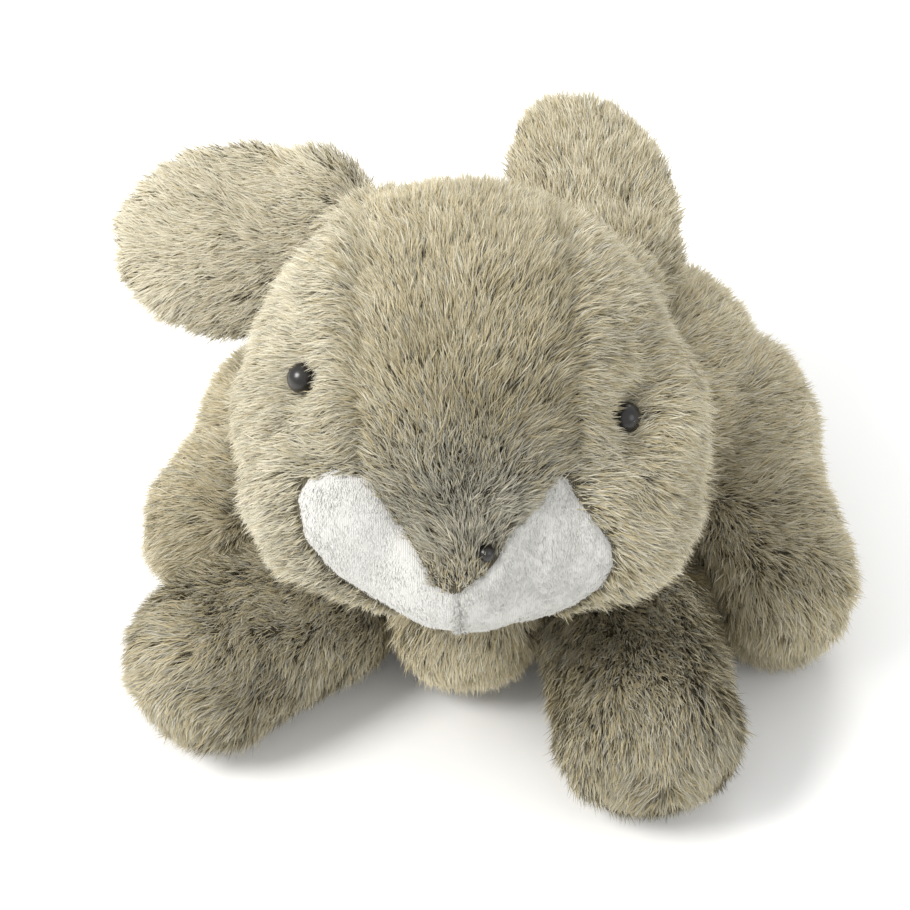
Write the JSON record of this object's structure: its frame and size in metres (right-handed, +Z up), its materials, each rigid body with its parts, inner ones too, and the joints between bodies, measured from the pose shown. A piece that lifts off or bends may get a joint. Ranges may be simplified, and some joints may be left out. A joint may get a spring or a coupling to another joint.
{
  "type": "animal hand puppet",
  "caption": "Full-bodied plush animal hand puppet in long-pile fake fur, lying on its belly, with floppy ears, movable head and legs, and a hand opening at the rump.",
  "frame": {"origin": "centre of the flat of the belly, on the plane the puppet rests on", "axes": "+Z up, the animal faces -Y, +X is to the right of a person looking at its face"},
  "size_m": [0.2652, 0.2733, 0.206],
  "materials": {
    "plush_tan": "matt",
    "plush_pale": "matt",
    "plush_white": "matt",
    "lining": "matt",
    "binding": "matt",
    "stuffing": "matt",
    "bead": "gloss",
    "washer": "satin"
  },
  "bodies": {
    "torso": {"back_left": "plush_tan", "back_right": "plush_tan", "chest_panel": "plush_pale", "belly_panel": "plush_tan", "hand_sleeve": "lining", "opening_hem": "binding"},
    "neck": {"neck_gusset": "binding"},
    "head": {"crown_panel": "plush_tan", "cheek_left": "plush_pale", "cheek_right": "plush_pale", "chin_panel": "plush_tan", "muzzle_left": "plush_white", "muzzle_right": "plush_white", "nose_bead": "bead", "eye_left": "bead", "eye_right": "bead", "eye_washer_left": "washer", "eye_washer_right": "washer", "head_stuffing_left": "stuffing", "head_stuffing_right": "stuffing", "head_finger_pocket": "lining", "ear_root_left": "plush_tan", "ear_root_right": "plush_tan"},
    "ear_left": {"ear_left_back": "plush_tan", "ear_left_front": "plush_pale"},
    "ear_right": {"ear_right_back": "plush_tan", "ear_right_front": "plush_pale"},
    "foreleg_left": {"foreleg_left_skin": "plush_tan", "foreleg_left_stuffing": "stuffing", "foreleg_left_pocket": "lining"},
    "foreleg_right": {"foreleg_right_skin": "plush_tan", "foreleg_right_stuffing": "stuffing", "foreleg_right_pocket": "lining"},
    "hindleg_left": {"hindleg_left_skin": "plush_tan", "hindleg_left_stuffing": "stuffing"},
    "hindleg_right": {"hindleg_right_skin": "plush_tan", "hindleg_right_stuffing": "stuffing"}
  },
  "joints": [
    {"name": "neck_turn", "type": "hinge", "parent": "torso", "child": "neck", "pos_m": [-0.013, -0.073, 0.13], "axis": [0, 0, 1], "range_deg": [-22, 22], "stiffness_Nm_per_rad": 1.2},
    {"name": "neck_nod", "type": "hinge", "parent": "neck", "child": "head", "pos_m": [-0.013, -0.073, 0.13], "axis": [1, 0, 0], "range_deg": [-5, 20], "stiffness_Nm_per_rad": 1.6},
    {"name": "foreleg_left_lift", "type": "hinge", "parent": "torso", "child": "foreleg_left", "pos_m": [-0.06426, -0.07956, 0.032], "axis": [-0.5878, 0.809, 0], "range_deg": [0, 28], "stiffness_Nm_per_rad": 0.5},
    {"name": "foreleg_right_lift", "type": "hinge", "parent": "torso", "child": "foreleg_right", "pos_m": [0.04692, -0.08874, 0.032], "axis": [-0.9903, -0.1392, 0], "range_deg": [0, 28], "stiffness_Nm_per_rad": 0.5},
    {"name": "ear_left_flop", "type": "hinge", "parent": "head", "child": "ear_left", "pos_m": [-0.05, 0.00478, 0.1399], "axis": [0.072, -0.6543, -0.7528], "range_deg": [-15, 15], "stiffness_Nm_per_rad": 0.05},
    {"name": "ear_right_flop", "type": "hinge", "parent": "head", "child": "ear_right", "pos_m": [0.045, -0.00795, 0.12717], "axis": [0.9588, 0.165, -0.2312], "range_deg": [-15, 15], "stiffness_Nm_per_rad": 0.05},
    {"name": "hindleg_left_splay", "type": "hinge", "parent": "torso", "child": "hindleg_left", "pos_m": [-0.07905, 0.001, 0.045], "axis": [0, 0, -1], "range_deg": [0, 20], "stiffness_Nm_per_rad": 0.5},
    {"name": "hindleg_right_splay", "type": "hinge", "parent": "torso", "child": "hindleg_right", "pos_m": [0.07956, -0.006, 0.045], "axis": [0, 0, 1], "range_deg": [0, 20], "stiffness_Nm_per_rad": 0.5}
  ]
}
